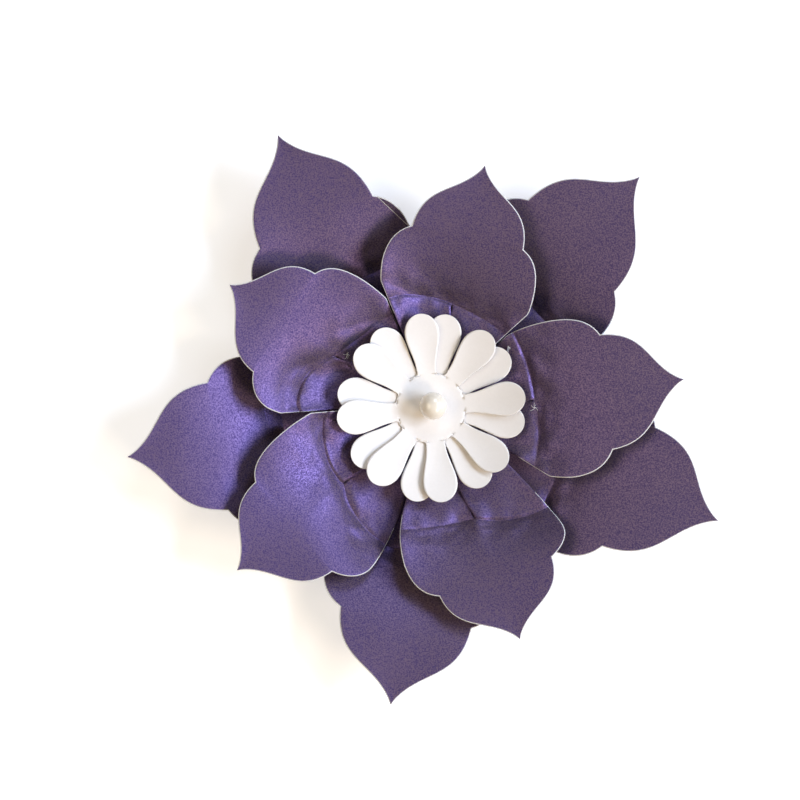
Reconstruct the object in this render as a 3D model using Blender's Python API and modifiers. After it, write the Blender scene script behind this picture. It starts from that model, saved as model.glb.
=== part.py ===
"""Paper flower: two rings of five folded card petals, two white daisies and a pearl.

The flower lies on its back with +Z up. The origin is the middle of the backing disc's rear face.
Sizes are written in millimetres and turned into metres by MM.
"""

import math

import bmesh
import bpy

MM = 0.001

# The card and how the layers stack
CARD = 0.3
GAP = 0.3
FLAP_STEP = CARD + GAP + 0.02
DISC_RADIUS = 30.0
DISC_THICKNESS = 0.4
OUTER_LEVEL = DISC_THICKNESS + GAP + CARD / 2
INNER_LEVEL = OUTER_LEVEL + FLAP_STEP + CARD + GAP
DAISY_LEVEL = INNER_LEVEL + FLAP_STEP + CARD + GAP
PEARL_RADIUS = 5.0
PEARL_MIDDLE = (0.7, -1.1)
PEARL_LEVEL = DAISY_LEVEL + FLAP_STEP + CARD / 2 + GAP + PEARL_RADIUS

# One petal cut, measured along its axis from the flower's middle, for each ring
OUTER_CUT = {
    "tip": 111.5, "notch": 77.9, "notch_half": 23.4, "wide": 63.8, "wide_half": 31.3,
    "base": 35.8, "base_half": 27.0, "rise": 20.0, "rise_power": 3.0, "cup": 1.5,
    "roll": 0.8, "flap_cup": 1.0, "level": OUTER_LEVEL, "crease": 53.0, "root": 9.0,
    "fade_from": 22.0, "fade_to": 60.0,
}
INNER_CUT = {
    "tip": 90.1, "notch": 64.2, "notch_half": 21.0, "wide": 52.1, "wide_half": 28.8,
    "base": 26.5, "base_half": 18.4, "rise": 17.5, "rise_power": 3.2, "cup": 2.0,
    "roll": 3.6, "flap_cup": 3.5, "level": INNER_LEVEL, "crease": 40.5, "root": 7.0,
    "fade_from": 10.0, "fade_to": 40.0,
}

# How each petal was glued: azimuth, slide out, slide sideways, length, lean of the tip, width of
# its left and right half, slant of the crease on its left and right, and which flap lies on top
OUTER_PETALS = (
    (115.0, -2.0, 9.5, 1.014, -0.2, 0.998, 0.945, 0.0, 0.0, 1),
    (43.2, -4.3, 5.9, 1.032, 2.1, 0.987, 0.970, 0.0, 0.0, 1),
    (-24.2, -1.3, 1.3, 1.016, 2.4, 0.997, 1.024, 0.0, 0.0, 1),
    (-99.6, 4.6, 3.7, 0.944, 0.0, 1.037, 1.021, 0.0, 0.0, 1),
    (-170.6, 3.5, 3.2, 0.968, -1.9, 1.008, 0.995, 0.0, 0.0, 1),
)
INNER_PETALS = (
    (77.7, -4.6, 0.2, 1.026, -0.9, 0.980, 0.982, -0.12, -0.27, 1),
    (6.4, -6.4, -3.2, 1.087, 1.6, 0.975, 1.018, -0.20, -0.12, 1),
    (-70.6, 7.3, 0.9, 0.929, 1.0, 1.026, 1.030, 0.18, -0.20, 1),
    (-139.4, 3.5, 1.5, 0.988, -1.3, 1.039, 0.989, 0.10, -0.50, -1),
    (147.9, 1.7, 4.1, 0.917, -1.6, 1.006, 0.999, 0.00, -0.38, 1),
)
# The flaps beside a slit cross at this turn, over no more than this share of the way to the middle.
# The slit ends just inside the crease, where one flap starts to climb over the other.
SLIT_TURN = math.radians(12.0)
SLIT_SHARE = 0.4
SLIT_END = 1.2
SLIT_END_GAP = 0.2
NEIGHBOUR_GAP = 0.4
# A flap rolls up over this length before its crease. Most of a blade's rise comes soon after the
# crease, and the point has this share of it, which grows with this power of the way to the tip.
ROLL_LENGTH = 12.0
TIP_SHARE = 0.25
TIP_POWER = 2.0

# The white daisies
DAISY_PETALS = 8
DAISY_TURNS = {"daisy_lower": 80.0, "daisy_upper": 97.0}
DAISY_MIDDLE = (0.0, -1.8)
DAISY_RADIUS = 34.4
DAISY_WIDE_AT = 27.5
DAISY_WIDE_HALF = 6.25
GAP_FROM = 12.8
GAP_HALF = 2.3
DAISY_FLAT = 9.0
DAISY_RISE = {"daisy_lower": 6.5, "daisy_upper": 8.0}
DAISY_CUP = 1.2

# Mesh density
FLAP_ROWS = 4
SHOULDER_ROWS = 3
LOBE_ROWS = 4
TIP_ROWS = 6
HALF_COLUMNS = 5

PURPLE = (0.105, 0.060, 0.165, 1.0)
WHITE = (0.90, 0.88, 0.85, 1.0)
PEARL = (0.93, 0.89, 0.82, 1.0)


def smooth(low, high, value):
    """Zero below low, one above high, and an S curve between them."""
    t = min(max((value - low) / (high - low), 0.0), 1.0)
    return t * t * (3.0 - 2.0 * t)


def bezier(points, t):
    """A point on the cubic through four control points."""
    a, b, c, d = (1 - t) ** 3, 3 * t * (1 - t) ** 2, 3 * t * t * (1 - t), t ** 3
    return tuple(a * p + b * q + c * r + d * s for p, q, r, s in zip(*points))


def cut_curves(cut):
    """The edge of half a petal as three curves: base to widest, lobe to notch, and ogee to tip."""
    base, wide = (cut["base"], cut["base_half"]), (cut["wide"], cut["wide_half"])
    notch, tip = (cut["notch"], cut["notch_half"]), (cut["tip"], 0.0)
    run, lobe, ogee = wide[0] - base[0], notch[0] - wide[0], tip[0] - notch[0]
    shoulder = (base, (base[0] + 0.5 * run, base[1] + 0.35 * run), (wide[0] - 0.1 * run, wide[1]), wide)
    round_lobe = (
        wide,
        (wide[0] + 0.75 * lobe, wide[1]),
        (notch[0] - 0.04 * lobe, notch[1] + 0.06 * (wide[1] - notch[1])),
        notch,
    )
    point = (
        notch,
        (notch[0] + 0.62 * ogee, 0.95 * notch[1]),
        (tip[0] - 0.45 * ogee, 0.32 * notch[1]),
        tip,
    )
    return shoulder, round_lobe, point


def half_width(cut, along):
    """Half the width of the cut at a distance along its shoulder, found by halving the curve."""
    curve = cut_curves(cut)[0]
    if along <= cut["base"]:
        return cut["base_half"] * along / cut["base"]
    low, high = 0.0, 1.0
    for _ in range(24):
        middle = (low + high) / 2
        if bezier(curve, middle)[0] < along:
            low = middle
        else:
            high = middle
    return bezier(curve, low)[1]


def petal_rows(cut):
    """Each row of a petal from root to tip, as its distance along the axis and its half width."""
    _, round_lobe, point = cut_curves(cut)
    crease = cut["crease"]
    inner = [cut["root"] + (crease - cut["root"]) * i / (FLAP_ROWS - 1) for i in range(FLAP_ROWS - 1)]
    rows = [(along, half_width(cut, along)) for along in inner + [crease - SLIT_END]]
    for i in range(SHOULDER_ROWS):
        along = crease + (cut["wide"] - crease) * i / SHOULDER_ROWS
        rows.append((along, half_width(cut, along)))
    rows += [bezier(round_lobe, i / LOBE_ROWS) for i in range(LOBE_ROWS)]
    rows += [bezier(point, i / TIP_ROWS) for i in range(TIP_ROWS + 1)]
    return rows


def petal_point(cut, glued, limits, row, v, side):
    """Where a point of the flat petal ends up once it is folded, overlapped and glued."""
    azimuth, out, sideways, length, lean, left, right, left_slant, right_slant, top = glued
    along, half = row
    crease = cut["crease"]
    inside = max(crease - along, 0.0)
    x = along * length + out * smooth(cut["fade_from"], cut["fade_to"], along)
    follow_crease = smooth(cut["root"], crease, along) * (1.0 - smooth(crease, cut["notch"], along))
    x += (left_slant if side > 0 else right_slant) * half * abs(v) * follow_crease
    middle = sideways * smooth(cut["fade_from"], cut["fade_to"], along)
    middle += lean * max(along - cut["wide"], 0.0) / (cut["tip"] - cut["wide"])
    edge = middle + (left if side > 0 else -right) * half
    # Neighbours of one ring share the space near the middle without crossing
    limit = math.tan(limits[0] if side > 0 else limits[1]) * x
    edge = min(edge, limit - NEIGHBOUR_GAP) if side > 0 else max(edge, limit + NEIGHBOUR_GAP)
    # Past the slit's end one flap steps up and slides over the other
    started = min(inside / SLIT_END, 1.0)
    cross = min(math.tan(SLIT_TURN) * max(inside - SLIT_END, 0.0), SLIT_SHARE * x)
    seam = middle + side * (SLIT_END_GAP * started - cross)
    lift = FLAP_STEP * started if side == top else 0.0
    y = seam + (edge - seam) * abs(v)
    s = max((along - crease) / (cut["tip"] - crease), 0.0)
    z = cut["level"] + lift
    z += cut["roll"] * smooth(crease - ROLL_LENGTH, crease, along)
    z += cut["flap_cup"] * v * v * follow_crease
    z += cut["rise"] * (1.0 - TIP_SHARE) * (1.0 - (1.0 - s) ** cut["rise_power"])
    z += cut["rise"] * TIP_SHARE * s ** TIP_POWER
    z += cut["cup"] * v * v * smooth(0.0, 0.4, s) * (1.0 - s)
    turn = math.radians(azimuth)
    return (
        MM * (x * math.cos(turn) - y * math.sin(turn)),
        MM * (x * math.sin(turn) + y * math.cos(turn)),
        MM * z,
    )


def neighbour_limits(ring, index):
    """Half the angle to the next petal on each side of this one, measured from its own axis."""
    own = ring[index][0]
    before = ring[index - 1][0]
    after = ring[(index + 1) % len(ring)][0]
    left = (before - own) % 360.0 / 2
    right = (own - after) % 360.0 / 2
    return math.radians(left), -math.radians(right)


def new_object(name, mesh_maker, material, collection):
    """A mesh object in the flower's collection, at the origin, with its own material."""
    mesh = bpy.data.meshes.new(name)
    bm = bmesh.new()
    mesh_maker(bm)
    bmesh.ops.recalc_face_normals(bm, faces=bm.faces)
    bm.to_mesh(mesh)
    bm.free()
    obj = bpy.data.objects.new(name, mesh)
    collection.objects.link(obj)
    obj.data.materials.append(material)
    mesh.shade_smooth()
    return obj


def add_card(obj):
    """Gives a sheet the thickness of the card, half on each side."""
    solid = obj.modifiers.new("card", "SOLIDIFY")
    solid.thickness = MM * CARD
    solid.offset = 0.0
    solid.use_quality_normals = True
    obj.data.set_sharp_from_angle(angle=math.radians(40.0))


def make_petal(bm, cut, glued, limits):
    """A grid slit up its middle as far as the crease, then folded into place."""
    rows = petal_rows(cut)
    last = len(rows) - 1
    bmesh.ops.create_grid(bm, x_segments=last, y_segments=2 * HALF_COLUMNS, size=1.0)
    slit = [
        e for e in bm.edges
        if all(abs(v.co.y) < 1e-6 and (v.co.x + 1) / 2 * last < FLAP_ROWS + 0.5 for v in e.verts)
    ]
    bmesh.ops.split_edges(bm, edges=slit)
    sides = [1 if sum(f.calc_center_median().y for f in v.link_faces) > 0 else -1 for v in bm.verts]
    for vert, side in zip(bm.verts, sides):
        number = round((vert.co.x + 1) / 2 * last)
        vert.co = petal_point(cut, glued, limits, rows[number], vert.co.y, side)
    bmesh.ops.remove_doubles(bm, verts=bm.verts, dist=MM * 0.001)


def make_ring(prefix, cut, ring, material, collection):
    """Five petals of one ring."""
    for index, glued in enumerate(ring):
        limits = neighbour_limits(ring, index)
        petal = new_object(
            f"{prefix}_petal_{index + 1}",
            lambda bm: make_petal(bm, cut, glued, limits),
            material(f"{prefix}_petal_{index + 1}"),
            collection,
        )
        add_card(petal)


def daisy_half(radius):
    """Half the width of one daisy petal at a radius past the start of its gaps."""
    neck = GAP_FROM + GAP_HALF
    near = min(radius, neck)
    drop = GAP_FROM * (1.0 - math.cos(math.pi / DAISY_PETALS)) * (1.0 - smooth(GAP_FROM, DAISY_WIDE_AT, near))
    sector = (near - drop) * math.tan(math.pi / DAISY_PETALS)
    neck_half = sector - math.sqrt(max(GAP_HALF ** 2 - (near - neck) ** 2, 0.0))
    if radius < DAISY_WIDE_AT:
        return neck_half + (DAISY_WIDE_HALF - neck_half) * smooth(neck, DAISY_WIDE_AT, radius)
    past = (radius - DAISY_WIDE_AT) / (DAISY_RADIUS - DAISY_WIDE_AT)
    return DAISY_WIDE_HALF * math.sqrt(max(1.0 - past ** 2, 0.0))


def make_daisy(bm, name):
    """Eight spoon-shaped petals round a shallow dish, cut as one sheet."""
    level = DAISY_LEVEL + (FLAP_STEP if name == "daisy_upper" else 0.0)
    radii = [0.0, 5.0, DAISY_FLAT, GAP_FROM, GAP_FROM + 0.8, GAP_FROM + GAP_HALF]
    radii += [19.5, 23.5, DAISY_WIDE_AT]
    reach = DAISY_RADIUS - DAISY_WIDE_AT
    radii += [DAISY_WIDE_AT + reach * math.sin(math.radians(a)) for a in (30, 52, 70, 90)]
    last = len(radii) - 1
    for k in range(DAISY_PETALS):
        made = bmesh.ops.create_grid(bm, x_segments=last, y_segments=4, size=1.0)["verts"]
        turn = math.radians(DAISY_TURNS[name] + 360.0 / DAISY_PETALS * k)
        for vert in made:
            radius = radii[round((vert.co.x + 1) / 2 * last)]
            v = vert.co.y
            if radius <= GAP_FROM:
                x = radius * math.cos(v * math.pi / DAISY_PETALS)
                y = radius * math.sin(v * math.pi / DAISY_PETALS)
            else:
                arc = GAP_FROM * (1.0 - math.cos(v * math.pi / DAISY_PETALS))
                x = radius - arc * (1.0 - smooth(GAP_FROM, DAISY_WIDE_AT, radius))
                y = v * daisy_half(radius)
            s = max(radius - DAISY_FLAT, 0.0) / (DAISY_RADIUS - DAISY_FLAT)
            z = level + DAISY_RISE[name] * s ** 1.4 + DAISY_CUP * v * v * smooth(0.2, 0.7, s) * (1.0 - s)
            vert.co = (
                MM * (DAISY_MIDDLE[0] + x * math.cos(turn) - y * math.sin(turn)),
                MM * (DAISY_MIDDLE[1] + x * math.sin(turn) + y * math.cos(turn)),
                MM * z,
            )
    bmesh.ops.remove_doubles(bm, verts=bm.verts, dist=MM * 0.01)


def make_disc(bm):
    """The round of card behind everything."""
    made = bmesh.ops.create_cone(
        bm, cap_ends=True, segments=48,
        radius1=MM * DISC_RADIUS, radius2=MM * DISC_RADIUS, depth=MM * DISC_THICKNESS,
    )
    bmesh.ops.translate(bm, verts=made["verts"], vec=(0.0, 0.0, MM * DISC_THICKNESS / 2))


def make_pearl(bm):
    """A plain round bead."""
    made = bmesh.ops.create_uvsphere(bm, u_segments=20, v_segments=12, radius=MM * PEARL_RADIUS)
    place = (MM * PEARL_MIDDLE[0], MM * PEARL_MIDDLE[1], MM * PEARL_LEVEL)
    bmesh.ops.translate(bm, verts=made["verts"], vec=place)


def finish_of(colour, roughness, metallic):
    """A maker of Principled materials of one finish, so that each piece gets its own."""
    def make(name):
        material = bpy.data.materials.new(name)
        material.use_nodes = True
        shader = material.node_tree.nodes["Principled BSDF"]
        shader.inputs["Base Color"].default_value = colour
        shader.inputs["Roughness"].default_value = roughness
        shader.inputs["Metallic"].default_value = metallic
        material.diffuse_color = colour
        return material
    return make


def main():
    for obj in list(bpy.data.objects):
        bpy.data.objects.remove(obj, do_unlink=True)
    flower = bpy.data.collections.new("paper_flower")
    bpy.context.scene.collection.children.link(flower)
    purple = finish_of(PURPLE, 0.45, 0.3)
    white = finish_of(WHITE, 0.8, 0.0)
    nacre = finish_of(PEARL, 0.25, 0.0)
    new_object("backing_disc", make_disc, purple("backing_disc"), flower)
    make_ring("outer", OUTER_CUT, OUTER_PETALS, purple, flower)
    make_ring("inner", INNER_CUT, INNER_PETALS, purple, flower)
    for name in DAISY_TURNS:
        add_card(new_object(name, lambda bm: make_daisy(bm, name), white(name), flower))
    new_object("pearl", make_pearl, nacre("pearl"), flower)


main()
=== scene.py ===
# %% [markdown]
# Paper flower
#
# This lesson dresses a large flower made of folded card. Ten purple petals stand in two rings round
# two white daisies and a pearl. A plain model of the same flower is loaded first. The finished petals,
# daisies and pearl take the place of its parts.

# %% Load the plain flower
import math

import bmesh
import bpy
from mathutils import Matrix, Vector, noise


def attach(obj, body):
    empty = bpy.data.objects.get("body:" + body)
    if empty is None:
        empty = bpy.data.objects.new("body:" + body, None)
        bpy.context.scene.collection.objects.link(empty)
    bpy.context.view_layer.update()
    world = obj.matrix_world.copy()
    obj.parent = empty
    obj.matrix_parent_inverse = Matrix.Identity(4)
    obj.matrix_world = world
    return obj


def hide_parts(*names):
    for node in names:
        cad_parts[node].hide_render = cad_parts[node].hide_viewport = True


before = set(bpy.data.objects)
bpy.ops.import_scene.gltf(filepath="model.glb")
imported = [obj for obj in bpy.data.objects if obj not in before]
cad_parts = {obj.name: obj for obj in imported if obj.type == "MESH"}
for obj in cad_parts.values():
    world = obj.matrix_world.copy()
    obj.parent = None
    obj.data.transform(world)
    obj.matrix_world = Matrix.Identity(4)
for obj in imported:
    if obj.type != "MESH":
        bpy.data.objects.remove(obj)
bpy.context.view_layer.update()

print("pieces to dress:", len(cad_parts))

# %% [markdown]
# Units and layers
#
# Card is thin, and this flower is a stack of thin layers. The stack is written down first, from the
# back to the front, in millimetres. Each layer starts a small gap above the one below, where the
# real flower has glue.

# %% Card and levels
MM = 0.001
CARD = 0.3
GAP = 0.3
FLAP_SLACK = 0.02
FLAP_STEP = CARD + GAP + FLAP_SLACK
DISC_THICKNESS = 0.4
OUTER_LEVEL = DISC_THICKNESS + GAP + CARD / 2
INNER_LEVEL = OUTER_LEVEL + FLAP_STEP + CARD + GAP
DAISY_LEVEL = INNER_LEVEL + FLAP_STEP + CARD + GAP
PEARL_RADIUS = 5.0
PEARL_MIDDLE = (0.7, -1.1)
PEARL_LEVEL = DAISY_LEVEL + FLAP_STEP + CARD / 2 + GAP + PEARL_RADIUS
print("pearl middle stands", round(PEARL_LEVEL, 2), "mm above the table")

# %% [markdown]
# The petal's cut
#
# All petals of a ring are cut with one die. Half its outline runs straight out from the root, and then
# in three curves: a swelling shoulder, a round lobe that ends in a sharp notch, and an ogee that runs
# out to the point. Bezier curves suit it, because each one is set by where it starts, where it ends
# and how it leaves both.
# The other numbers say how the flat petal bends: how far it rises past its crease and how soon, how
# much it cups across, and how high its flaps roll up before the crease. The last ones say on which
# layer it lies, where its crease and its root are, and over what stretch a shift takes hold.

# %% Two cuts, one for each ring
OUTER_CUT = {
    "tip": 111.5, "notch": 77.9, "notch_half": 23.4, "wide": 63.8, "wide_half": 31.3,
    "base": 35.8, "base_half": 27.0, "rise": 20.0, "rise_power": 3.0, "cup": 1.5, "roll": 0.8,
    "level": OUTER_LEVEL, "crease": 53.0, "root": 9.0, "fade_from": 22.0, "fade_to": 60.0,
}
INNER_CUT = {
    "tip": 90.1, "notch": 64.2, "notch_half": 21.0, "wide": 52.1, "wide_half": 28.8,
    "base": 26.5, "base_half": 18.4, "rise": 17.45, "rise_power": 3.2, "cup": 2.0, "roll": 3.6,
    "level": INNER_LEVEL, "crease": 40.5, "root": 7.0, "fade_from": 10.0, "fade_to": 40.0,
}
print("a petal reaches", OUTER_CUT["tip"], "mm in the outer ring and", INNER_CUT["tip"], "in the inner")

# %% [markdown]
# How each petal was glued
#
# Nobody glues ten petals at perfect angles. Each row says how one petal sits: its azimuth, how far it
# slid out and sideways, how long it looks, how its point leans, how wide its halves are, how its
# crease slants on either side of the slit, and which of its two flaps lies on top.

# %% The ten petals
OUTER_PETALS = (
    (115.0, -2.0, 9.5, 1.014, -0.2, 0.998, 0.945, 0.0, 0.0, 1),
    (43.2, -4.3, 5.9, 1.032, 2.1, 0.987, 0.970, 0.0, 0.0, 1),
    (-24.2, -1.3, 1.3, 1.016, 2.4, 0.997, 1.024, 0.0, 0.0, 1),
    (-99.6, 4.6, 3.7, 0.944, 0.0, 1.037, 1.021, 0.0, 0.0, 1),
    (-170.6, 3.5, 3.2, 0.968, -1.9, 1.008, 0.995, 0.0, 0.0, 1),
)
INNER_PETALS = (
    (77.7, -4.6, 0.2, 1.026, -0.9, 0.980, 0.982, -0.12, -0.27, 1),
    (6.4, -6.4, -3.2, 1.087, 1.6, 0.975, 1.018, -0.20, -0.12, 1),
    (-70.6, 7.3, 0.9, 0.929, 1.0, 1.026, 1.030, 0.18, -0.20, 1),
    (-139.4, 3.5, 1.5, 0.988, -1.3, 1.039, 0.989, 0.10, -0.50, -1),
    (147.9, 1.7, 4.1, 0.917, -1.6, 1.006, 0.999, 0.00, -0.38, 1),
)
print(len(OUTER_PETALS) + len(INNER_PETALS), "petals")

# %% [markdown]
# Slit and flaps
#
# Each petal is slit from its root to the crease. One flap steps up over the last stretch of the slit,
# and further in the two slide over each other by a small turn, and by no more than a share of their
# distance from the flower's middle. Where the slit ends the card has to turn up, and how it does so
# depends on how it was pressed. The flaps of the outer ring are hidden and all alike. Those of the
# inner ring show round the daisies, so each petal has its own numbers: how far its crease bows and how
# much its flap cups, left and right, and the length over which the flaps roll up.

# %% Slit and flaps
SLIT_TURN = math.radians(12.0)
SLIT_SHARE = 0.4
SLIT_END = 1.2
SLIT_END_GAP = 0.2
NEIGHBOUR_GAP = 0.4
OUTER_FLAPS = ({"bows": (0.0, 0.0), "cups": (1.0, 1.0), "roll_length": 12.0},) * len(OUTER_PETALS)
INNER_FLAPS = (
    {"bows": (2.0, 0.5), "cups": (5.0, 2.5), "roll_length": 26.0},
    {"bows": (1.5, 1.5), "cups": (2.5, 3.0), "roll_length": 12.0},
    {"bows": (2.5, 0.8), "cups": (1.5, 4.5), "roll_length": 12.0},
    {"bows": (3.0, 4.0), "cups": (0.0, 4.5), "roll_length": 14.0},
    {"bows": (5.0, 0.0), "cups": (4.0, 2.0), "roll_length": 12.0},
)
print("one flap steps up", round(FLAP_STEP, 2), "mm over the last", SLIT_END, "mm of the slit")


# %% Curves for the outline
def smooth(low, high, value):
    """Zero below low, one above high, and an S curve between them."""
    t = min(max((value - low) / (high - low), 0.0), 1.0)
    return t * t * (3.0 - 2.0 * t)


def bezier(points, t):
    """A point on the cubic through four control points."""
    a, b, c, d = (1 - t) ** 3, 3 * t * (1 - t) ** 2, 3 * t * t * (1 - t), t ** 3
    return tuple(a * p + b * q + c * r + d * s for p, q, r, s in zip(*points))


def cut_curves(cut):
    """The edge of half a petal as three curves: base to widest, lobe to notch, and ogee to tip."""
    base, wide = (cut["base"], cut["base_half"]), (cut["wide"], cut["wide_half"])
    notch, tip = (cut["notch"], cut["notch_half"]), (cut["tip"], 0.0)
    run, lobe, ogee = wide[0] - base[0], notch[0] - wide[0], tip[0] - notch[0]
    shoulder = (base, (base[0] + 0.5 * run, base[1] + 0.35 * run), (wide[0] - 0.1 * run, wide[1]), wide)
    round_lobe = (
        wide,
        (wide[0] + 0.75 * lobe, wide[1]),
        (notch[0] - 0.04 * lobe, notch[1] + 0.06 * (wide[1] - notch[1])),
        notch,
    )
    point = (
        notch,
        (notch[0] + 0.62 * ogee, 0.95 * notch[1]),
        (tip[0] - 0.45 * ogee, 0.32 * notch[1]),
        tip,
    )
    return shoulder, round_lobe, point


def half_width(cut, along):
    """Half the width of the cut at a distance along its shoulder, found by halving the curve."""
    curve = cut_curves(cut)[0]
    if along <= cut["base"]:
        return cut["base_half"] * along / cut["base"]
    low, high = 0.0, 1.0
    for _ in range(24):
        middle = (low + high) / 2
        if bezier(curve, middle)[0] < along:
            low = middle
        else:
            high = middle
    return bezier(curve, low)[1]


print("width at an inner crease:", round(2 * half_width(INNER_CUT, INNER_CUT["crease"]), 1), "mm")

# %% [markdown]
# Rows of a fine petal
#
# The plain petals have seventeen rows of faces. The finished ones have five times as many, packed
# closer at the crease, where the card turns sharply, and along the curved edge.

# %% Rows from root to point
FLAP_ROWS = 15
STEP_ROWS = 3
SHOULDER_ROWS = 18
SHOULDER_PACKING = 1.4
LOBE_ROWS = 16
TIP_ROWS = 34


def petal_rows(cut):
    """Each row of a petal from root to tip, as its distance along the axis and its half width."""
    _, round_lobe, point = cut_curves(cut)
    crease, root = cut["crease"], cut["root"]
    flap_end = crease - SLIT_END
    alongs = [root + (flap_end - root) * math.sin(math.pi / 2 * i / FLAP_ROWS) for i in range(FLAP_ROWS)]
    alongs += [flap_end + SLIT_END * i / STEP_ROWS for i in range(STEP_ROWS)]
    shares = [(i / SHOULDER_ROWS) ** SHOULDER_PACKING for i in range(SHOULDER_ROWS)]
    alongs += [crease + (cut["wide"] - crease) * share for share in shares]
    rows = [(along, half_width(cut, along)) for along in alongs]
    rows += [bezier(round_lobe, i / LOBE_ROWS) for i in range(LOBE_ROWS)]
    rows += [bezier(point, i / TIP_ROWS) for i in range(TIP_ROWS + 1)]
    return rows


print("rows in one petal:", len(petal_rows(INNER_CUT)))

# %% [markdown]
# Folding one point
#
# A petal starts as a flat sheet with a slit up its root. The two flaps beside the slit slide over each
# other and are glued, which pulls the sheet into a cup and leaves a crease across the end of the slit.
# The flaps roll up as they near the crease. Past it the blade climbs fast, then gently all the way to
# its point. One function moves any point of the sheet to its place, so the plain and the fine petal
# share the same form.

# %% The fold
TIP_SHARE = 0.25
TIP_POWER = 2.0


def petal_place(cut, glued, flaps, limits, row, v, side):
    """Where a point of the flat petal ends up, in millimetres."""
    azimuth, out, sideways, length, lean, left, right, left_slant, right_slant, top = glued
    flap = 0 if side > 0 else 1
    along, half = row
    crease = cut["crease"]
    inside = max(crease - along, 0.0)
    x = along * length + out * smooth(cut["fade_from"], cut["fade_to"], along)
    follow_crease = smooth(cut["root"], crease, along) * (1.0 - smooth(crease, cut["notch"], along))
    x += (left_slant if side > 0 else right_slant) * half * abs(v) * follow_crease
    x += flaps["bows"][flap] * 4.0 * abs(v) * (1.0 - abs(v)) * follow_crease
    middle = sideways * smooth(cut["fade_from"], cut["fade_to"], along)
    middle += lean * max(along - cut["wide"], 0.0) / (cut["tip"] - cut["wide"])
    edge = middle + (left if side > 0 else -right) * half
    # Neighbours of one ring share the space near the middle without crossing
    limit = math.tan(limits[0] if side > 0 else limits[1]) * x
    edge = min(edge, limit - NEIGHBOUR_GAP) if side > 0 else max(edge, limit + NEIGHBOUR_GAP)
    # One flap steps up over the slit's last stretch, and further in they slide over each other
    started = min(inside / SLIT_END, 1.0)
    cross = min(math.tan(SLIT_TURN) * max(inside - SLIT_END, 0.0), SLIT_SHARE * x)
    seam = middle + side * (SLIT_END_GAP * started - cross)
    lift = FLAP_STEP * started if side == top else 0.0
    y = seam + (edge - seam) * abs(v)
    s = max((along - crease) / (cut["tip"] - crease), 0.0)
    z = cut["level"] + lift
    z += cut["roll"] * smooth(crease - flaps["roll_length"], crease, along)
    z += flaps["cups"][flap] * v * v * follow_crease
    # Most of the rise comes soon after the crease, and the point has a share of its own
    z += cut["rise"] * (1.0 - TIP_SHARE) * (1.0 - (1.0 - s) ** cut["rise_power"])
    z += cut["rise"] * TIP_SHARE * s ** TIP_POWER
    z += cut["cup"] * v * v * smooth(0.0, 0.4, s) * (1.0 - s)
    turn = math.radians(azimuth)
    return Vector((
        x * math.cos(turn) - y * math.sin(turn),
        x * math.sin(turn) + y * math.cos(turn),
        z,
    ))


def neighbour_limits(ring, index):
    """Half the angle to the next petal on each side of this one, measured from its own axis."""
    own = ring[index][0]
    before = ring[index - 1][0]
    after = ring[(index + 1) % len(ring)][0]
    left = (before - own) % 360.0 / 2
    right = (own - after) % 360.0 / 2
    return math.radians(left), -math.radians(right)


first_limits = neighbour_limits(INNER_PETALS, 0)
first_tip = petal_place(
    INNER_CUT, INNER_PETALS[0], INNER_FLAPS[0], first_limits, (INNER_CUT["tip"], 0.0), 0.0, 1,
)
print("the point of the first inner petal stands", round(first_tip.z, 1), "mm high")

# %% [markdown]
# What hands do to card
#
# Pressed card is never quite smooth. Near the crease it crumples into soft dents, and the blade keeps
# a slight wave from being curled. Smooth noise, read at each point, gives both. The noise has a fixed
# place for each petal, so the flower comes out the same every time.

# %% Crumple and wave
CRUMPLE_HEIGHT = 1.5
CRUMPLE_SIZE = 7.0
CRUMPLE_REACH = 8.0
CREASE_FINE = 0.3
WAVE_HEIGHT = 0.35
WAVE_SIZE = 22.0


def handling(cut, point, along, number):
    """How far the card stands off its ideal form at a point, in millimetres."""
    seed = Vector((17.0 * number, 5.0 * number, 0.0))
    near = math.exp(-((along - cut["crease"]) / CRUMPLE_REACH) ** 2)
    blade = smooth(cut["crease"], cut["wide"], along) * (1.0 - smooth(cut["notch"], cut["tip"], along))
    crumple = CRUMPLE_HEIGHT * near * noise.noise(point / CRUMPLE_SIZE + seed)
    crumple += CREASE_FINE * near * noise.noise(3.0 * point / CRUMPLE_SIZE + seed)
    wave = WAVE_HEIGHT * blade * noise.noise(point / WAVE_SIZE + seed)
    return crumple + wave


print("dents of up to", CRUMPLE_HEIGHT + CREASE_FINE, "mm and waves of up to", WAVE_HEIGHT, "mm")

# %% [markdown]
# The white core
#
# Coloured card is white inside, and every cut edge shows it as a thin bright line. The line matters:
# it draws each petal's outline against the one below. The outermost strip of the grid is kept as
# narrow as that line, dropped a little as a blade drops it, and given its own material. The line
# starts a little inside the crease, because closer in the petals crowd together.

# %% Columns across a petal
COAT_SLOT = 0
CORE_SLOT = 1
HALF_COLUMNS = 22
EDGE_LINE = 0.32
EDGE_DROP = 0.10
LINE_START = 6.0


def columns(half, steepness, line):
    """Places across half a petal from the middle to the edge, the last step being the white line."""
    strip = min(line * math.sqrt(1.0 + steepness ** 2), 0.45 * half) / max(half, 0.01)
    plain = [i / HALF_COLUMNS * (1.0 - strip) for i in range(HALF_COLUMNS + 1)]
    return plain + [1.0]


def line_width(cut, along):
    """The white line is broad round the lobes and thinner near the crease."""
    return EDGE_LINE * (0.3 + 0.7 * smooth(cut["crease"] - 4.0, cut["wide"], along))


print("white line:", EDGE_LINE, "mm at the lobes,", round(line_width(INNER_CUT, 0.0), 2), "near the crease")

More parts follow.
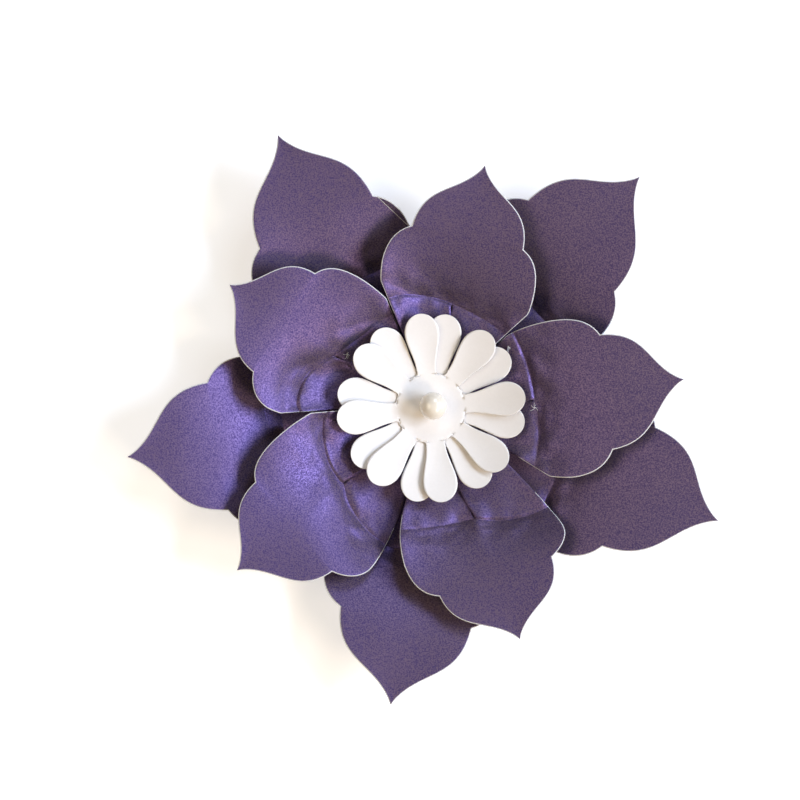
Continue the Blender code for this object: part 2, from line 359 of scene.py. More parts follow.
# %% [markdown]
# A cracked corner
#
# One outer petal was bent across its lobe, and its coat cracked white along the bend. Two cuts through
# the mesh, side by side, leave a strip as narrow as the crack. The strip gets the core's finish, and
# everything beyond it is tilted up. Only faces close by are cut, so the rest of the petal stays as it
# was.

# %% The crack
CRACKED_PETAL = "outer_petal_1_card"
CRACK_FROM = Vector((-19.3, 74.6, 0.0))
CRACK_TO = Vector((-8.7, 64.8, 0.0))
CRACK_WIDTH = 0.2
CRACK_REACH = 11.0
CRACK_RISE = 0.5


def crack_corner(bm):
    """Bends the corner beyond a straight line up and shows the core along the line."""
    middle = (CRACK_FROM + CRACK_TO) / 2
    run = (CRACK_TO - CRACK_FROM).normalized()
    outward = Vector((-run.y, run.x, 0.0))
    for shift in (-CRACK_WIDTH / 2, CRACK_WIDTH / 2):
        faces = [f for f in bm.faces if (f.calc_center_median() / MM - middle).xy.length < CRACK_REACH]
        edges = list(dict.fromkeys(e for f in faces for e in f.edges))
        verts = list(dict.fromkeys(v for f in faces for v in f.verts))
        place = (middle + outward * shift) * MM
        bmesh.ops.bisect_plane(bm, geom=faces + edges + verts, plane_co=place, plane_no=outward)
    for face in bm.faces:
        offset = face.calc_center_median() / MM - middle
        offset.z = 0.0
        if offset.length < CRACK_REACH and abs(offset.dot(outward)) < CRACK_WIDTH / 2:
            face.material_index = CORE_SLOT
    for vert in bm.verts:
        offset = vert.co / MM - middle
        offset.z = 0.0
        beyond = offset.dot(outward)
        if offset.length < CRACK_REACH and beyond > 0.0:
            vert.co.z += MM * CRACK_RISE * beyond


print("the crack is", round((CRACK_TO - CRACK_FROM).length, 1), "mm long")

# %% [markdown]
# Building the sheet
#
# The grid is made flat by Blender, slit with split_edges, and then each vertex is sent through the
# fold. Solidify gives it the card's thickness, and its rim takes the finish of the strip beside it.

# %% One petal
MERGE_WITHIN = 0.001


def slopes_of(rows):
    """How steeply the edge runs out sideways at each row."""
    last = len(rows) - 1
    result = []
    for i in range(len(rows)):
        a, b = rows[max(i - 1, 0)], rows[min(i + 1, last)]
        result.append(min(abs(b[1] - a[1]) / max(b[0] - a[0], 0.05), 3.0))
    return result


def make_petal(name, cut, ring, flaps, index, number):
    """A petal as one sheet of card with a white core."""
    rows = petal_rows(cut)
    slopes = slopes_of(rows)
    limits = neighbour_limits(ring, index)
    last = len(rows) - 1
    half_count = HALF_COLUMNS + 1
    bm = bmesh.new()
    bmesh.ops.create_grid(bm, x_segments=last, y_segments=2 * half_count, size=1.0)
    bm.verts.ensure_lookup_table()
    slit_rows = STEP_ROWS + FLAP_ROWS + 0.5
    slit = [
        e for e in bm.edges
        if all(abs(v.co.y) < 1e-6 and (v.co.x + 1) / 2 * last < slit_rows for v in e.verts)
    ]
    bmesh.ops.split_edges(bm, edges=slit)
    line_from = sum(1 for along, half in rows if along < cut["crease"] - LINE_START)
    for face in bm.faces:
        middle = face.calc_center_median()
        on_edge = abs(middle.y) > 1.0 - 1.0 / half_count and (middle.x + 1) / 2 * last > line_from
        face.material_index = CORE_SLOT if on_edge else COAT_SLOT
    sides = [1 if sum(f.calc_center_median().y for f in v.link_faces) > 0 else -1 for v in bm.verts]
    for vert, side in zip(bm.verts, sides):
        i = round((vert.co.x + 1) / 2 * last)
        column = round(abs(vert.co.y) * half_count)
        along, half = rows[i]
        places = columns(half, slopes[i], line_width(cut, along))
        point = petal_place(cut, ring[index], flaps[index], limits, rows[i], places[column], side)
        point.z += handling(cut, point, along, number)
        if column == half_count:
            point.z -= EDGE_DROP
        vert.co = point * MM
    bmesh.ops.remove_doubles(bm, verts=bm.verts, dist=MM * MERGE_WITHIN)
    if name == CRACKED_PETAL:
        crack_corner(bm)
    bmesh.ops.recalc_face_normals(bm, faces=bm.faces)
    mesh = bpy.data.meshes.new(name)
    bm.to_mesh(mesh)
    bm.free()
    if sum(p.normal.z for p in mesh.polygons) < 0:
        mesh.flip_normals()
    mesh.shade_smooth()
    obj = bpy.data.objects.new(name, mesh)
    bpy.context.scene.collection.objects.link(obj)
    card = obj.modifiers.new("card", "SOLIDIFY")
    card.thickness = MM * CARD
    card.offset = 0.0
    card.use_quality_normals = True
    return obj


def applied(obj):
    """The object with its modifiers made real."""
    graph = bpy.context.evaluated_depsgraph_get()
    made = bpy.data.meshes.new_from_object(obj.evaluated_get(graph))
    obj.modifiers.clear()
    old = obj.data
    obj.data = made
    bpy.data.meshes.remove(old)
    obj.data.name = obj.name
    return obj


print("steepest edge of an outer petal:", round(max(slopes_of(petal_rows(OUTER_CUT))), 1))

# %% [markdown]
# Pearlescent card
#
# The purple is not paint but a thin coat with mica flakes. From straight above it looks violet where
# it turns towards the light and dull brown-purple where it turns away, and each flake sparkles on its
# own. A partly metallic Principled shader with a violet specular tint gives the turn, fine noise gives
# the flakes, broad noise the clouds of tone, and a small bump breaks up the gloss as the paper's
# tooth does. All of it is read from the place on the piece, so it needs no picture.

# %% Helpers for materials
def new_material(name):
    """A material, its node tree and its Principled shader."""
    material = bpy.data.materials.new(name)
    material.use_nodes = True
    return material, material.node_tree, material.node_tree.nodes["Principled BSDF"]


def add(tree, kind, **values):
    """A node with some of its properties set."""
    node = tree.nodes.new(kind)
    for key, value in values.items():
        setattr(node, key, value)
    return node


def noise_node(tree, coordinates, scale, detail=2.0, roughness=0.5):
    """Noise on the object's own coordinates."""
    node = add(tree, "ShaderNodeTexNoise")
    node.inputs["Scale"].default_value = scale
    node.inputs["Detail"].default_value = detail
    node.inputs["Roughness"].default_value = roughness
    tree.links.new(coordinates, node.inputs["Vector"])
    return node.outputs["Fac"]


def spread(tree, value, low, high, to_low, to_high):
    """Stretches a value from one range to another."""
    node = add(tree, "ShaderNodeMapRange")
    for name, number in (("From Min", low), ("From Max", high), ("To Min", to_low), ("To Max", to_high)):
        node.inputs[name].default_value = number
    tree.links.new(value, node.inputs["Value"])
    return node.outputs["Result"]


def colour_between(tree, shader, factor, low, high):
    """Gives the shader a base colour between two others."""
    node = add(tree, "ShaderNodeMix", data_type="RGBA")
    node.inputs["A"].default_value = (*low, 1.0)
    node.inputs["B"].default_value = (*high, 1.0)
    tree.links.new(factor, node.inputs["Factor"])
    tree.links.new(node.outputs["Result"], shader.inputs["Base Color"])


def fine_bump(tree, shader, height, strength, distance):
    """Roughens the shader's surface by a pattern."""
    bump = add(tree, "ShaderNodeBump")
    bump.inputs["Strength"].default_value = strength
    bump.inputs["Distance"].default_value = distance
    tree.links.new(height, bump.inputs["Height"])
    tree.links.new(bump.outputs["Normal"], shader.inputs["Normal"])


print("helpers for noise, colour and bumps")

# %% The purple coat
FLAKE_SCALE = 2000.0
TOOTH_SCALE = 2600.0
CLOUD_SCALE = 45.0
COAT_DARK = (0.014, 0.011, 0.009)
COAT_LIGHT = (0.156, 0.110, 0.095)
COAT_TURN = (0.38, 0.255, 1.0, 1.0)
COAT_ROUGH = 0.64
FLAKE_ROUGH = 0.44
FLAKE_RANGE = (0.35, 0.65)
FLAKE_SHARE = 0.75
CLOUD_SHARE = 0.25


def purple_coat():
    """Violet mica coat on card."""
    material, tree, shader = new_material("purple_pearl_coat")
    place = add(tree, "ShaderNodeTexCoord").outputs["Object"]
    flakes = noise_node(tree, place, FLAKE_SCALE, 1.5)
    clouds = noise_node(tree, place, CLOUD_SCALE, 3.0)
    mixed = add(tree, "ShaderNodeMath", operation="MULTIPLY_ADD")
    tree.links.new(clouds, mixed.inputs[0])
    mixed.inputs[1].default_value = CLOUD_SHARE
    tree.links.new(spread(tree, flakes, *FLAKE_RANGE, 0.0, FLAKE_SHARE), mixed.inputs[2])
    colour_between(tree, shader, mixed.outputs[0], COAT_DARK, COAT_LIGHT)
    rough = spread(tree, flakes, *FLAKE_RANGE, COAT_ROUGH, FLAKE_ROUGH)
    tree.links.new(rough, shader.inputs["Roughness"])
    shader.inputs["Metallic"].default_value = 0.2
    shader.inputs["IOR"].default_value = 2.5
    shader.inputs["Specular Tint"].default_value = COAT_TURN
    fine_bump(tree, shader, noise_node(tree, place, TOOTH_SCALE, 2.0), 0.35, 0.12 * MM)
    return material


coat = purple_coat()
print("flakes about", round(1 / FLAKE_SCALE / MM, 2), "mm apart")

# %% The core's finish
CORE_FIBRE_SCALE = 1800.0
CORE_DARK = (0.52, 0.50, 0.48)
CORE_LIGHT = (0.70, 0.68, 0.66)


def white_core():
    """Raw card where the coat was cut through."""
    material, tree, shader = new_material("white_card_core")
    place = add(tree, "ShaderNodeTexCoord").outputs["Object"]
    fibre = noise_node(tree, place, CORE_FIBRE_SCALE, 3.0)
    colour_between(tree, shader, fibre, CORE_DARK, CORE_LIGHT)
    shader.inputs["Roughness"].default_value = 0.9
    return material


core = white_core()
print("finishes on a petal:", coat.name, "and", core.name)

# %% [markdown]
# Fitting the petals
#
# Each finished petal takes the place of its plain one. It rides on the flower's only body, because
# nothing in a glued flower moves.

# %% Ten petals
def dress(piece, node):
    """Puts a finished piece in the place of the plain one."""
    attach(piece, "root")
    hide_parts(node)


petals = {}
for prefix, cut, ring, flaps in (
    ("outer", OUTER_CUT, OUTER_PETALS, OUTER_FLAPS),
    ("inner", INNER_CUT, INNER_PETALS, INNER_FLAPS),
):
    for index in range(len(ring)):
        node = f"{prefix}_petal_{index + 1}"
        petal = make_petal(f"{node}_card", cut, ring, flaps, index, len(petals))
        petal.data.materials.append(coat)
        petal.data.materials.append(core)
        petals[node] = applied(petal)
        dress(petal, node)
print("faces in one petal:", len(petals["inner_petal_1"].data.polygons))

# %% [markdown]
# The white daisies
#
# Both daisies come from one die with eight spoon-shaped petals round a shallow dish. A shape that
# repeats round a middle is what Geometry Nodes are good at: one petal is modelled with its share of
# the dish, and a small tree sets copies on the middle, turns each one further than the last, joins
# them and gives the material.

# %% One spoon of the daisy
DAISY_PETALS = 8
DAISY_TURNS = {"daisy_lower": 80.0, "daisy_upper": 97.0}
DAISY_MIDDLE = (0.0, -1.8)
DAISY_RADIUS = 34.4
DAISY_WIDE_AT = 27.5
DAISY_WIDE_HALF = 6.25
GAP_FROM = 12.8
GAP_HALF = 2.3
DAISY_FLAT = 9.0
DAISY_RISE = {"daisy_lower": 6.5, "daisy_upper": 8.0}
DAISY_CUP = 1.2
DISH_ROWS = 12
GAP_ROWS = 8
NECK_ROWS = 12
ROUND_ROWS = 14
SPOON_COLUMNS = 16


def daisy_half(radius):
    """Half the width of one daisy petal at a radius past the start of its gaps."""
    neck = GAP_FROM + GAP_HALF
    near = min(radius, neck)
    bulge = GAP_FROM * (1.0 - math.cos(math.pi / DAISY_PETALS))
    drop = bulge * (1.0 - smooth(GAP_FROM, DAISY_WIDE_AT, near))
    sector = (near - drop) * math.tan(math.pi / DAISY_PETALS)
    neck_half = sector - math.sqrt(max(GAP_HALF ** 2 - (near - neck) ** 2, 0.0))
    if radius < DAISY_WIDE_AT:
        return neck_half + (DAISY_WIDE_HALF - neck_half) * smooth(neck, DAISY_WIDE_AT, radius)
    past = (radius - DAISY_WIDE_AT) / (DAISY_RADIUS - DAISY_WIDE_AT)
    return DAISY_WIDE_HALF * math.sqrt(max(1.0 - past ** 2, 0.0))


def spoon_radii():
    """Rows of one spoon: dish, the round end of the gap, the neck and the round tip."""
    quarter = math.pi / 2
    dish = [GAP_FROM * i / DISH_ROWS for i in range(DISH_ROWS)]
    gap_end = [GAP_FROM + GAP_HALF * (1.0 - math.cos(quarter * i / GAP_ROWS)) for i in range(GAP_ROWS)]
    neck_start = GAP_FROM + GAP_HALF
    neck = [neck_start + (DAISY_WIDE_AT - neck_start) * i / NECK_ROWS for i in range(NECK_ROWS)]
    reach = DAISY_RADIUS - DAISY_WIDE_AT
    tip = [DAISY_WIDE_AT + reach * math.sin(quarter * i / ROUND_ROWS) for i in range(ROUND_ROWS + 1)]
    return dish + gap_end + neck + tip


def make_spoon(name):
    """One eighth of a daisy, pointing along +X."""
    radii = spoon_radii()
    last = len(radii) - 1
    level = DAISY_LEVEL + (FLAP_STEP if name == "daisy_upper" else 0.0)
    bm = bmesh.new()
    bmesh.ops.create_grid(bm, x_segments=last, y_segments=SPOON_COLUMNS, size=1.0)
    for vert in bm.verts:
        radius = radii[round((vert.co.x + 1) / 2 * last)]
        v = vert.co.y
        if radius <= GAP_FROM:
            x = radius * math.cos(v * math.pi / DAISY_PETALS)
            y = radius * math.sin(v * math.pi / DAISY_PETALS)
        else:
            arc = GAP_FROM * (1.0 - math.cos(v * math.pi / DAISY_PETALS))
            x = radius - arc * (1.0 - smooth(GAP_FROM, DAISY_WIDE_AT, radius))
            y = v * daisy_half(radius)
        s = max(radius - DAISY_FLAT, 0.0) / (DAISY_RADIUS - DAISY_FLAT)
        z = level + DAISY_RISE[name] * s ** 1.4 + DAISY_CUP * v * v * smooth(0.2, 0.7, s) * (1.0 - s)
        vert.co = Vector((x, y, z)) * MM
    bmesh.ops.remove_doubles(bm, verts=bm.verts, dist=MM * MERGE_WITHIN)
    mesh = bpy.data.meshes.new(f"{name}_spoon")
    bm.to_mesh(mesh)
    bm.free()
    obj = bpy.data.objects.new(f"{name}_spoon", mesh)
    bpy.context.scene.collection.objects.link(obj)
    return obj


print("rows in one spoon:", len(spoon_radii()))

# %% [markdown]
# White card
#
# The daisies are plain matt card. Its fibres show as a faint cloud of tone and a slight bump. The cut
# edge is painted darker and warmer than the face: painted shade for the thin shadow gaps between
# the layers.

# %% Finishes of the daisies
CARD_FIBRE_SCALE = 900.0
FACE_DARK = (0.78, 0.74, 0.70)
FACE_LIGHT = (0.82, 0.78, 0.74)
# The cut edge's colours are painted shade, darker than the face for the shadow gaps round each petal
EDGE_SHADE_DARK = (0.40, 0.36, 0.32)
EDGE_SHADE_LIGHT = (0.50, 0.45, 0.41)


def white_card(name, dark, light):
    """Matt card between two close colours."""
    material, tree, shader = new_material(name)
    place = add(tree, "ShaderNodeTexCoord").outputs["Object"]
    fibre = noise_node(tree, place, CARD_FIBRE_SCALE, 4.0)
    colour_between(tree, shader, fibre, dark, light)
    shader.inputs["Roughness"].default_value = 0.85
    fine_bump(tree, shader, fibre, 0.15, 0.1 * MM)
    return material


daisy_card = white_card("white_daisy_card", FACE_DARK, FACE_LIGHT)
daisy_edge_shade = white_card("daisy_cut_edge_painted_shade", EDGE_SHADE_DARK, EDGE_SHADE_LIGHT)
print("finishes on a daisy:", daisy_card.name, "and", daisy_edge_shade.name)

# %% Helpers for Geometry Nodes
def new_tree(name, inputs, output):
    """An empty tree with named inputs, and its first and last node."""
    tree = bpy.data.node_groups.new(name, "GeometryNodeTree")
    for label, kind in inputs:
        tree.interface.new_socket(label, in_out="INPUT", socket_type=f"NodeSocket{kind}")
    tree.interface.new_socket(output, in_out="OUTPUT", socket_type="NodeSocketGeometry")
    return tree, tree.nodes.new("NodeGroupInput"), tree.nodes.new("NodeGroupOutput")


def give_inputs(modifier, tree, values):
    """Sets a Geometry Nodes modifier's inputs by their sockets' identifiers."""
    modifier.node_group = tree
    for item in tree.interface.items_tree:
        if item.in_out == "INPUT" and item.name in values:
            modifier[item.identifier] = values[item.name]


print("helpers for trees and their inputs")

# %% A tree that sets copies round a middle
def round_tree():
    """Copies of a piece turned evenly about Z, joined into one sheet."""
    tree, start, end = new_tree("copies_round_a_middle", (
        ("Piece", "Geometry"), ("Copies", "Int"), ("First turn", "Float"),
        ("Join within", "Float"), ("Middle", "Vector"), ("Finish", "Material"),
    ), "Ring")
    points = tree.nodes.new("GeometryNodePoints")
    index = tree.nodes.new("GeometryNodeInputIndex")
    share = add(tree, "ShaderNodeMath", operation="DIVIDE")
    turn = add(tree, "ShaderNodeMath", operation="MULTIPLY_ADD")
    angles = tree.nodes.new("ShaderNodeCombineXYZ")
    copies = tree.nodes.new("GeometryNodeInstanceOnPoints")
    real = tree.nodes.new("GeometryNodeRealizeInstances")
    join = tree.nodes.new("GeometryNodeMergeByDistance")
    shift = tree.nodes.new("GeometryNodeTransform")
    finish = tree.nodes.new("GeometryNodeSetMaterial")
    link = tree.links.new
    link(start.outputs["Copies"], points.inputs["Count"])
    link(index.outputs[0], share.inputs[0])
    link(start.outputs["Copies"], share.inputs[1])
    link(share.outputs[0], turn.inputs[0])
    turn.inputs[1].default_value = math.tau
    link(start.outputs["First turn"], turn.inputs[2])
    link(turn.outputs[0], angles.inputs["Z"])
    link(points.outputs[0], copies.inputs["Points"])
    link(start.outputs["Piece"], copies.inputs["Instance"])
    link(angles.outputs[0], copies.inputs["Rotation"])
    link(copies.outputs[0], real.inputs[0])
    link(real.outputs[0], join.inputs["Geometry"])
    link(start.outputs["Join within"], join.inputs["Distance"])
    link(join.outputs[0], shift.inputs["Geometry"])
    link(start.outputs["Middle"], shift.inputs["Translation"])
    link(shift.outputs[0], finish.inputs["Geometry"])
    link(start.outputs["Finish"], finish.inputs["Material"])
    link(finish.outputs[0], end.inputs[0])
    return tree


ring_of_copies = round_tree()
print(len(ring_of_copies.nodes), "nodes in", ring_of_copies.name)

# %% Two daisies
JOIN_WITHIN = 0.01

for node, degrees in DAISY_TURNS.items():
    spoon = make_spoon(node)
    spoon.name = f"{node}_cutout"
    copies = spoon.modifiers.new("copies", "NODES")
    give_inputs(copies, ring_of_copies, {
        "Copies": DAISY_PETALS, "First turn": math.radians(degrees),
        "Join within": MM * JOIN_WITHIN, "Finish": daisy_card,
        "Middle": (MM * DAISY_MIDDLE[0], MM * DAISY_MIDDLE[1], 0.0),
    })
    daisy = applied(spoon)
    daisy.data.shade_smooth()
    card = daisy.modifiers.new("card", "SOLIDIFY")
    card.thickness = MM * CARD
    card.offset = 0.0
    # The rim takes the darker edge finish: painted shade for the shadow gaps between the layers
    card.material_offset_rim = CORE_SLOT
    daisy.data.materials.append(daisy_edge_shade)
    applied(daisy)
    dress(daisy, node)
    print(node, "has", len(daisy.data.polygons), "faces")

# %% [markdown]
# The pearl
#
# A craft pearl is a plastic bead with a nacre coat: cream inside, with a clear gloss that mirrors the
# window. A round mesh with enough faces and a coated material is all it needs.

# %% Bead and nacre
NACRE_CLOUD_SCALE = 260.0
NACRE_DARK = (0.76, 0.67, 0.54)
NACRE_LIGHT = (0.84, 0.76, 0.63)
BEAD_SEGMENTS = 64
BEAD_RINGS = 40


def nacre():
    """Cream with faint clouds under a clear coat."""
    material, tree, shader = new_material("nacre")
    place = add(tree, "ShaderNodeTexCoord").outputs["Object"]
    clouds = noise_node(tree, place, NACRE_CLOUD_SCALE, 3.0)
    colour_between(tree, shader, clouds, NACRE_DARK, NACRE_LIGHT)
    shader.inputs["Roughness"].default_value = 0.30
    shader.inputs["IOR"].default_value = 1.6
    shader.inputs["Coat Weight"].default_value = 1.0
    shader.inputs["Coat Roughness"].default_value = 0.16
    return material


def make_pearl():
    """The bead on the upper daisy's dish."""
    bm = bmesh.new()
    made = bmesh.ops.create_uvsphere(
        bm, u_segments=BEAD_SEGMENTS, v_segments=BEAD_RINGS, radius=MM * PEARL_RADIUS,
    )
    place = (MM * PEARL_MIDDLE[0], MM * PEARL_MIDDLE[1], MM * PEARL_LEVEL)
    bmesh.ops.translate(bm, verts=made["verts"], vec=place)
    mesh = bpy.data.meshes.new("pearl_bead")
    bm.to_mesh(mesh)
    bm.free()
    mesh.shade_smooth()
    mesh.materials.append(nacre())
    obj = bpy.data.objects.new("pearl_bead", mesh)
    bpy.context.scene.collection.objects.link(obj)
    return obj


dress(make_pearl(), "pearl")
print("bead of", 2 * PEARL_RADIUS, "mm")

# %% [markdown]
# Threads of glue
#
# A glue gun leaves fine threads behind wherever it is pulled away. They are one bent thread set many
# times on a few spots, each copy turned and sized by chance, which is another rule that Geometry Nodes
# follow well. The spots are dropped onto the petals first, so the threads start on the card.

# %% A tree that scatters threads
GLUE_SPOTS = ((27.9, 20.2), (37.6, -1.6), (-30.6, 17.8))
THREADS = 7
THREAD_REACH = 2.6
THREAD_RADIUS = 0.07
THREAD_STEPS = 10
TUBE_SIDES = 6
THREAD_SEED = 4


def highest_point(x, y):
    """The top of the petals under a spot seen from above, in metres."""
    hits = []
    for petal in petals.values():
        hit, place, _, _ = petal.ray_cast(Vector((x * MM, y * MM, 1.0)), Vector((0.0, 0.0, -1.0)))
        if hit:
            hits.append(place.z)
    return Vector((x * MM, y * MM, max(hits)))


def thread_tree():
    """Thin bent tubes that start on each point and run out at random turns."""
    tree, start, end = new_tree("threads_of_glue", (
        ("Spots", "Geometry"), ("Threads", "Int"), ("Reach", "Float"),
        ("Radius", "Float"), ("Seed", "Int"), ("Finish", "Material"),
    ), "Glue")
    many = add(tree, "GeometryNodeDuplicateElements", domain="POINT")
    bent = tree.nodes.new("GeometryNodeCurveQuadraticBezier")
    turn = add(tree, "FunctionNodeRandomValue", data_type="FLOAT_VECTOR")
    size = add(tree, "FunctionNodeRandomValue", data_type="FLOAT")
    scaled = add(tree, "ShaderNodeMath", operation="MULTIPLY")
    copies = tree.nodes.new("GeometryNodeInstanceOnPoints")
    real = tree.nodes.new("GeometryNodeRealizeInstances")
    ring = tree.nodes.new("GeometryNodeCurvePrimitiveCircle")
    tube = tree.nodes.new("GeometryNodeCurveToMesh")
    finish = tree.nodes.new("GeometryNodeSetMaterial")
    link = tree.links.new
    bent.inputs["Resolution"].default_value = THREAD_STEPS
    bent.inputs["Start"].default_value = (0.0, 0.0, 0.0)
    bent.inputs["Middle"].default_value = (0.5, 0.35, 0.4)
    bent.inputs["End"].default_value = (1.0, 0.0, 0.08)
    ring.inputs["Resolution"].default_value = TUBE_SIDES
    turn.inputs["Min"].default_value = (-0.3, -0.3, 0.0)
    turn.inputs["Max"].default_value = (0.3, 0.3, math.tau)
    # Sockets 2 and 3 are the least and the greatest size
    size.inputs[2].default_value = 0.25
    size.inputs[3].default_value = 1.0
    link(start.outputs["Spots"], many.inputs["Geometry"])
    link(start.outputs["Threads"], many.inputs["Amount"])
    link(many.outputs["Geometry"], copies.inputs["Points"])
    link(bent.outputs[0], copies.inputs["Instance"])
    link(start.outputs["Seed"], turn.inputs["Seed"])
    link(start.outputs["Seed"], size.inputs["Seed"])
    link(turn.outputs[0], copies.inputs["Rotation"])
    link(size.outputs[1], scaled.inputs[0])
    link(start.outputs["Reach"], scaled.inputs[1])
    link(scaled.outputs[0], copies.inputs["Scale"])
    link(copies.outputs[0], real.inputs[0])
    link(real.outputs[0], tube.inputs["Curve"])
    link(start.outputs["Radius"], ring.inputs["Radius"])
    link(ring.outputs[0], tube.inputs["Profile Curve"])
    tube.inputs["Fill Caps"].default_value = True
    link(tube.outputs[0], finish.inputs["Geometry"])
    link(start.outputs["Finish"], finish.inputs["Material"])
    link(finish.outputs[0], end.inputs[0])
    return tree


threads = thread_tree()
print(len(threads.nodes), "nodes in", threads.name)

# %% Glue on its spots
GLUE_CLOUD_SCALE = 700.0
GLUE_DARK = (0.50, 0.48, 0.46)
GLUE_LIGHT = (0.85, 0.83, 0.80)


def dried_glue():
    """Milky, a little glossy."""
    material, tree, shader = new_material("dried_glue")
    place = add(tree, "ShaderNodeTexCoord").outputs["Object"]
    clouds = noise_node(tree, place, GLUE_CLOUD_SCALE, 2.0)
    colour_between(tree, shader, clouds, GLUE_DARK, GLUE_LIGHT)
    shader.inputs["Roughness"].default_value = 0.35
    return material


spots = bpy.data.meshes.new("glue_spots")
spots.from_pydata([highest_point(x, y) for x, y in GLUE_SPOTS], [], [])
glue = bpy.data.objects.new("threads_of_glue", spots)
bpy.context.scene.collection.objects.link(glue)
give_inputs(glue.modifiers.new("threads", "NODES"), threads, {
    "Threads": THREADS, "Reach": MM * THREAD_REACH, "Radius": MM * THREAD_RADIUS,
    "Seed": THREAD_SEED, "Finish": dried_glue(),
})
applied(glue)
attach(glue, "root")
print(len(GLUE_SPOTS), "spots with", THREADS, "threads each")

# %% [markdown]
# The disc behind
#
# The round of card at the back only shows from behind. It is the plain piece with a better finish,
# since its shape is already right.

# %% The disc's finish
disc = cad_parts["backing_disc"]
disc.data.materials.clear()
disc.data.materials.append(coat)
print("the disc wears", coat.name)

# %% [markdown]
# Table and wall
#
# The photo looks straight down at a flower on a white table. A table lit until it is white would throw
# light back on the petals, so here it is grey to them. Only the camera, gloss and clear pieces see it
# white: a matt white that takes the flower's soft shadow, with a glow of its own on top. A low round
# wall far behind the table is white in the same way, for views that look past the table's edge.

# %% White table
TABLE_SIZE = 3.0
SHADOW_TINT = (0.55, 0.54, 0.52, 1.0)
TABLE_WHITE = (0.82, 0.82, 0.84, 1.0)
HIDDEN_GREY = (0.55, 0.55, 0.55, 1.0)


def seen_rays(tree):
    """One for rays from the camera, and for those that gloss or a clear piece sends on."""
    rays = add(tree, "ShaderNodeLightPath")
    total = rays.outputs["Is Camera Ray"]
    for kind in ("Is Glossy Ray", "Is Transmission Ray"):
        either = add(tree, "ShaderNodeMath", operation="ADD", use_clamp=True)
        tree.links.new(total, either.inputs[0])
        tree.links.new(rays.outputs[kind], either.inputs[1])
        total = either.outputs[0]
    return total


def table_finish():
    """White with a soft shadow to the camera, grey to the flower."""
    material, tree, shader = new_material("white_table")
    shader.inputs["Base Color"].default_value = HIDDEN_GREY
    shader.inputs["Roughness"].default_value = 1.0
    shader.inputs["Specular IOR Level"].default_value = 0.0
    glow = add(tree, "ShaderNodeEmission")
    glow.inputs["Color"].default_value = SHADOW_TINT
    glow.inputs["Strength"].default_value = 1.0
    matt = add(tree, "ShaderNodeBsdfDiffuse")
    matt.inputs["Color"].default_value = TABLE_WHITE
    both = add(tree, "ShaderNodeAddShader")
    pick = add(tree, "ShaderNodeMixShader")
    end = tree.nodes["Material Output"]
    tree.links.new(matt.outputs[0], both.inputs[0])
    tree.links.new(glow.outputs[0], both.inputs[1])
    tree.links.new(seen_rays(tree), pick.inputs["Fac"])
    tree.links.new(shader.outputs[0], pick.inputs[1])
    tree.links.new(both.outputs[0], pick.inputs[2])
    tree.links.new(pick.outputs[0], end.inputs["Surface"])
    return material


bpy.ops.mesh.primitive_plane_add(size=TABLE_SIZE, location=(0, 0, 0))
table = bpy.context.object
table.name = "table"
table.data.materials.append(table_finish())
print("table of", TABLE_SIZE, "m")

# %% White wall
WALL_RADIUS = 6.0
WALL_HEIGHT = 3.0
WALL_SIDES = 96


def wall_finish():
    """White to the camera, grey to the flower."""
    material, tree, shader = new_material("white_wall")
    shader.inputs["Base Color"].default_value = HIDDEN_GREY
    shader.inputs["Roughness"].default_value = 1.0
    white = add(tree, "ShaderNodeEmission")
    pick = add(tree, "ShaderNodeMixShader")
    tree.links.new(seen_rays(tree), pick.inputs["Fac"])
    tree.links.new(shader.outputs[0], pick.inputs[1])
    tree.links.new(white.outputs[0], pick.inputs[2])
    tree.links.new(pick.outputs[0], tree.nodes["Material Output"].inputs["Surface"])
    return material


def make_wall():
    """An open ring that faces inwards, half of it above the table and half below."""
    bm = bmesh.new()
    bmesh.ops.create_cone(
        bm, cap_ends=False, segments=WALL_SIDES,
        radius1=WALL_RADIUS, radius2=WALL_RADIUS, depth=WALL_HEIGHT,
    )
    bmesh.ops.reverse_faces(bm, faces=bm.faces)
    mesh = bpy.data.meshes.new("wall")
    bm.to_mesh(mesh)
    bm.free()
    mesh.materials.append(wall_finish())
    obj = bpy.data.objects.new("wall", mesh)
    bpy.context.scene.collection.objects.link(obj)
    return obj


make_wall()
print("wall at", WALL_RADIUS, "m")

# %% [markdown]
# Light
#
# The photo was taken beside a wide window on the right: petals that face right look blue, the others
# brown. A broad cool lamp stands for that window and a smaller one for its far end. A warm lamp at the
# lower right is the room's own, and weak warm ones on the other sides are its walls and ceiling. Apart
# from the ceiling they stand in a ring, half way up, because a lamp overhead would make every level
# petal shine. A very dim warm world lights the rest.

# %% Lamps
LAMP_DISTANCE = 1.2
# Name, azimuth and elevation in degrees, width and height in metres, power in watts, colour
LAMPS = (
    ("right_window", 6.0, 38.0, (0.7, 0.4), 17.8, (0.67, 0.79, 1.0)),
    ("far_window", 66.0, 38.0, (0.4, 0.4), 3.8, (0.72, 0.84, 1.0)),
    ("room_lamp", -40.0, 40.0, (0.4, 0.3), 6.6, (1.0, 0.82, 0.62)),
    ("left_wall", 180.0, 52.0, (0.8, 0.6), 4.6, (1.0, 0.86, 0.64)),
    ("near_wall", 250.0, 50.0, (0.6, 0.6), 0.6, (1.0, 0.86, 0.72)),
    ("ceiling", 180.0, 75.0, (1.0, 1.0), 0.5, (1.0, 0.84, 0.70)),
)
WORLD_COLOUR = (1.0, 0.92, 0.84, 1.0)
WORLD_STRENGTH = 0.03


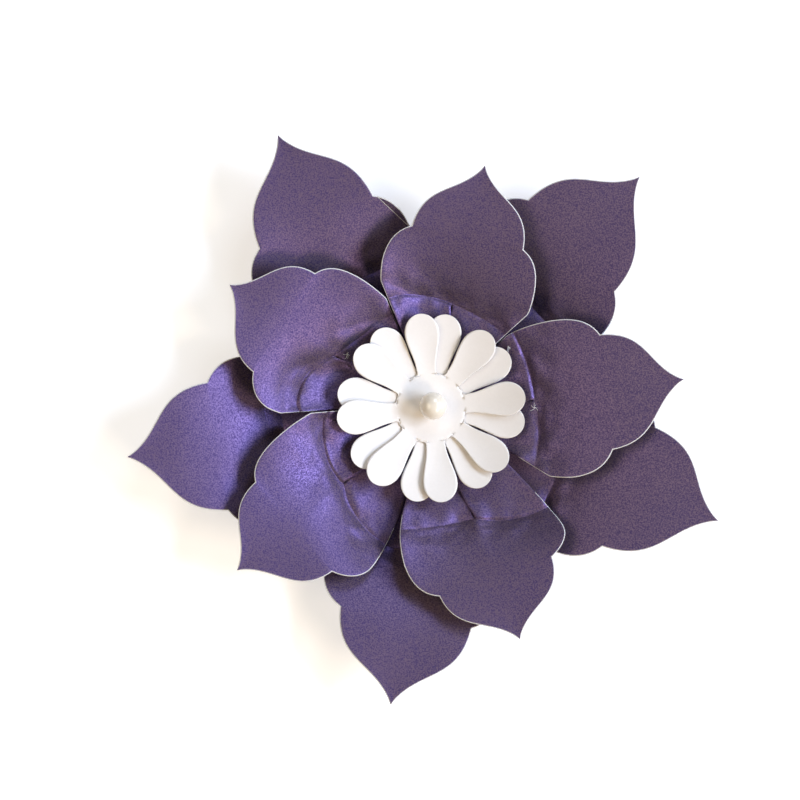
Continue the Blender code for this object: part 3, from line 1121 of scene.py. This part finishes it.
def soft_lamp(name, azimuth, elevation, size, power, colour):
    """An area lamp aimed at the flower's middle."""
    lamp = bpy.data.lights.new(name, "AREA")
    lamp.shape = "RECTANGLE"
    lamp.size, lamp.size_y = size
    lamp.energy = power
    lamp.color = colour
    obj = bpy.data.objects.new(name, lamp)
    a, e = math.radians(azimuth), math.radians(elevation)
    towards = Vector((math.cos(a) * math.cos(e), math.sin(a) * math.cos(e), math.sin(e)))
    obj.location = LAMP_DISTANCE * towards
    obj.rotation_euler = (-obj.location).to_track_quat("-Z", "Y").to_euler()
    bpy.context.scene.collection.objects.link(obj)


for lamp in LAMPS:
    soft_lamp(*lamp)
world = bpy.data.worlds.new("pale_room")
world.use_nodes = True
background = world.node_tree.nodes["Background"]
background.inputs["Color"].default_value = WORLD_COLOUR
background.inputs["Strength"].default_value = WORLD_STRENGTH
bpy.context.scene.world = world
print(len(LAMPS), "lamps,", round(sum(lamp[4] for lamp in LAMPS), 1), "W in all")

# %% [markdown]
# Camera
#
# The camera stands high above the flower with a long lens, so that the petals' height hardly changes
# their outline. The lens follows from the bead's size in the photo, which says how many millimetres
# one pixel covers, and the camera's place from the pixel that the flower's middle falls on.

# %% Camera
SENSOR = 36.0
MM_PER_PIXEL = 0.364
IMAGE_SIDE = 800
FLOWER_PIXEL = (431.0, 403.0)
CAMERA_HEIGHT = 2.0
FOCUS_LEVEL = 0.004
camera_data = bpy.data.cameras.new("camera")
camera = bpy.data.objects.new("camera", camera_data)
bpy.context.scene.collection.objects.link(camera)
across = IMAGE_SIDE * MM_PER_PIXEL * MM
camera_data.sensor_width = SENSOR
camera_data.lens = SENSOR * (CAMERA_HEIGHT - FOCUS_LEVEL) / across
camera.location = (
    (IMAGE_SIDE / 2 - FLOWER_PIXEL[0]) * MM_PER_PIXEL * MM,
    (FLOWER_PIXEL[1] - IMAGE_SIDE / 2) * MM_PER_PIXEL * MM,
    CAMERA_HEIGHT,
)
bpy.context.scene.camera = camera
bpy.context.scene.view_settings.view_transform = "Standard"
print("lens", round(camera_data.lens, 1), "mm")
